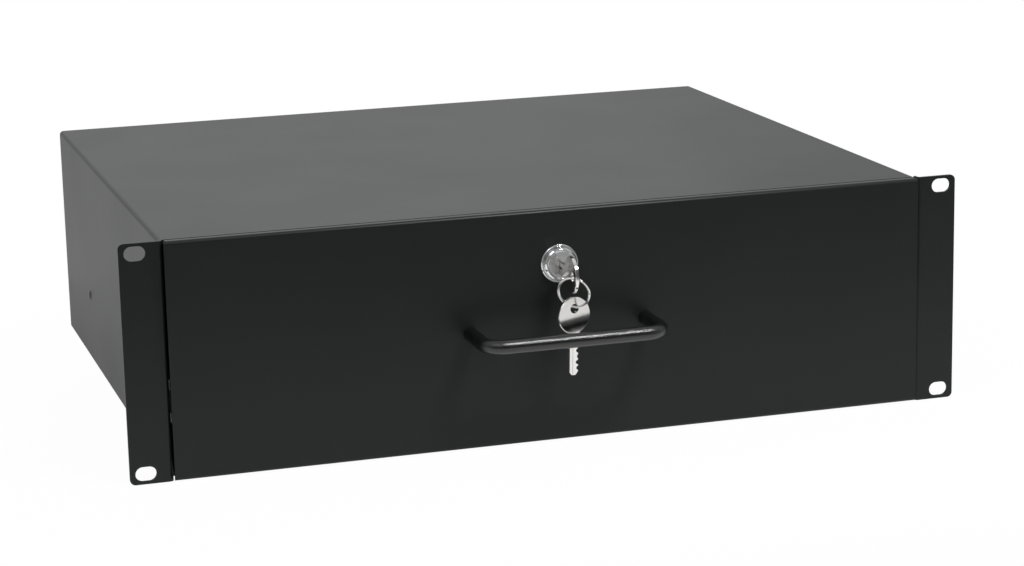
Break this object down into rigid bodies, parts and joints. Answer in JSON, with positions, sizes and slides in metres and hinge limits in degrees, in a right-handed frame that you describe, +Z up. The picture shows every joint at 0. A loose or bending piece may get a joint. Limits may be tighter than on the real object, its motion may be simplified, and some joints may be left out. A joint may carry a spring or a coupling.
{
  "type": "sliding rack drawer",
  "caption": "Lockable sliding drawer in a rack-mount steel chassis, with a bar handle, ball-bearing slides and a cam lock with its keys.",
  "frame": {"origin": "centre of the four rack slots on the rear face of the ears", "axes": "+Y into the rack, away from the drawer front; +X to the right seen from the front; +Z up"},
  "size_m": [0.4826, 0.4124, 0.132],
  "materials": {
    "black_coat": "black powder coat, satin",
    "handle_coat": "black powder coat, fine texture",
    "black_rivet": "black, semi-gloss",
    "zinc_plate": "bright zinc plate",
    "bright_steel": "polished steel",
    "lock_chrome": "polished chrome",
    "wafer_brass": "plain brass",
    "key_nickel": "nickel plate, polished"
  },
  "bodies": {
    "chassis": {"chassis_shell": "black_coat", "floor_pan": "black_coat", "floor_rivets": "black_rivet", "back_panel": "black_coat", "back_panel_screws": "black_rivet", "lock_strike": "zinc_plate", "outer_slide_rivets": "black_rivet", "slide_outer_left": "zinc_plate", "slide_outer_right": "zinc_plate"},
    "left_balls": {"ball_cage_left": "zinc_plate", "slide_balls_left": "bright_steel"},
    "right_balls": {"ball_cage_right": "zinc_plate", "slide_balls_right": "bright_steel"},
    "drawer": {"slide_inner_left": "zinc_plate", "slide_inner_right": "zinc_plate", "inner_slide_rivets": "zinc_plate", "drawer_tray": "black_coat", "drawer_front": "black_coat", "handle": "handle_coat", "handle_screws": "zinc_plate", "handle_washers": "zinc_plate", "lock_housing": "lock_chrome", "lock_nut": "zinc_plate"},
    "lock_cylinder": {"lock_plug": "lock_chrome", "lock_wafers": "wafer_brass", "wafer_springs": "bright_steel", "lock_cam": "zinc_plate", "cam_washer": "zinc_plate", "cam_screw": "zinc_plate", "lock_key": "key_nickel"},
    "key_ring": {"split_ring": "key_nickel"},
    "hanging_key": {"spare_key": "key_nickel"}
  },
  "joints": [
    {"name": "drawer_slide", "type": "slide", "parent": "chassis", "child": "drawer", "axis": [0, -1, 0], "range_m": [0, 0.21]},
    {"name": "left_balls_roll", "type": "slide", "parent": "chassis", "child": "left_balls", "axis": [0, -1, 0], "range_m": [0, 0.105]},
    {"name": "right_balls_roll", "type": "slide", "parent": "chassis", "child": "right_balls", "axis": [0, -1, 0], "range_m": [0, 0.105]},
    {"name": "lock_turn", "type": "hinge", "parent": "drawer", "child": "lock_cylinder", "pos_m": [0.0012, 0, 0.0353], "axis": [0, 1, 0], "range_deg": [0, 90]},
    {"name": "ring_swing", "type": "hinge", "parent": "lock_cylinder", "child": "key_ring", "pos_m": [0.00044, -0.02811, 0.0321], "axis": [0.7986, -0.6018, 0], "range_deg": [-3, 15]},
    {"name": "spare_key_swing", "type": "hinge", "parent": "key_ring", "child": "hanging_key", "pos_m": [0.00219, -0.02413, 0.01512], "axis": [0.7986, -0.6018, 0], "range_deg": [-4, 12]}
  ],
  "couplings": [
    {"joint": "left_balls_roll", "follows": "drawer_slide", "ratio": 0.5},
    {"joint": "right_balls_roll", "follows": "drawer_slide", "ratio": 0.5}
  ]
}
